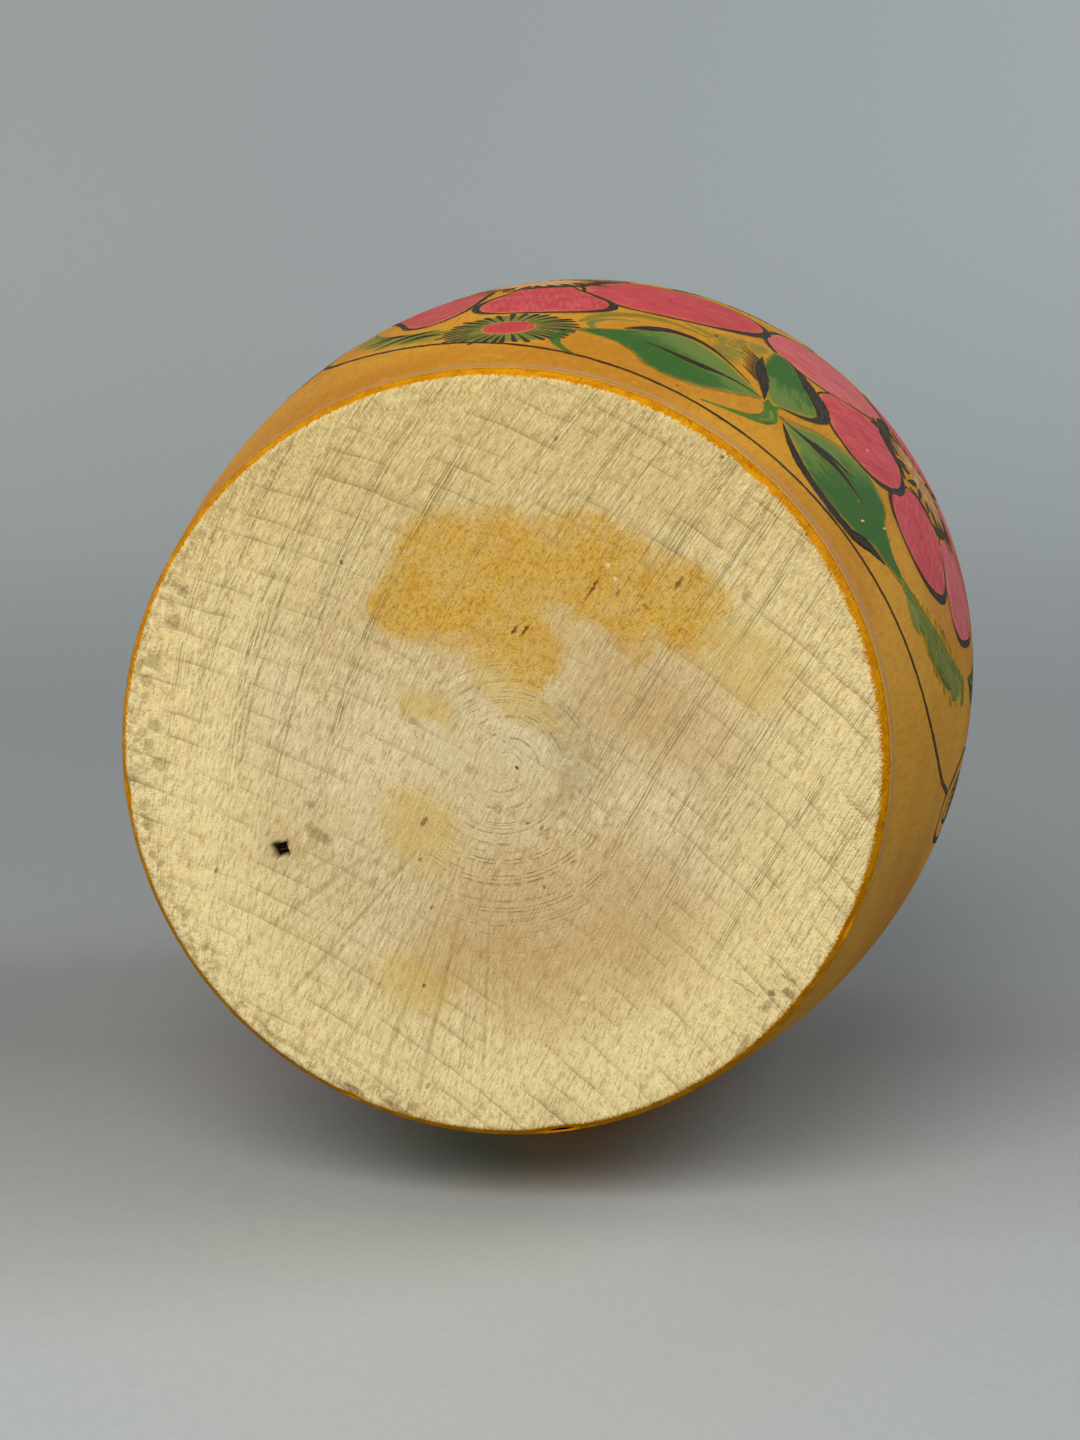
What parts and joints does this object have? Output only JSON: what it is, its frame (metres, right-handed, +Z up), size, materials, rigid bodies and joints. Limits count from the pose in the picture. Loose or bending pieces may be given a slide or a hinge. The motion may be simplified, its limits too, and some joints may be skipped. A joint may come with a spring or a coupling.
{
  "type": "lidded wooden bowl",
  "caption": "Turned wooden bowl, barrel-shaped and hand painted with flowers, with a drop-in domed lid and knob, for sugar, honey or sweets.",
  "frame": {"origin": "centre of the flat wooden face that the bowl stands on", "axes": "+Z up along the turning axis, from the base to the knob; -Y is the middle of the painted front"},
  "size_m": [0.0964, 0.0964, 0.144],
  "materials": {
    "painted_wood": "amber lacquer over painted wood",
    "bare_wood": "bare sawn end grain"
  },
  "bodies": {
    "bowl": {"bowl": "painted_wood"},
    "lid": {"lid": "painted_wood", "knob": "painted_wood"}
  },
  "joints": [
    {"name": "lid_lift", "type": "slide", "parent": "bowl", "child": "lid", "axis": [0, 0, 1], "range_m": [0, 0.06]}
  ]
}
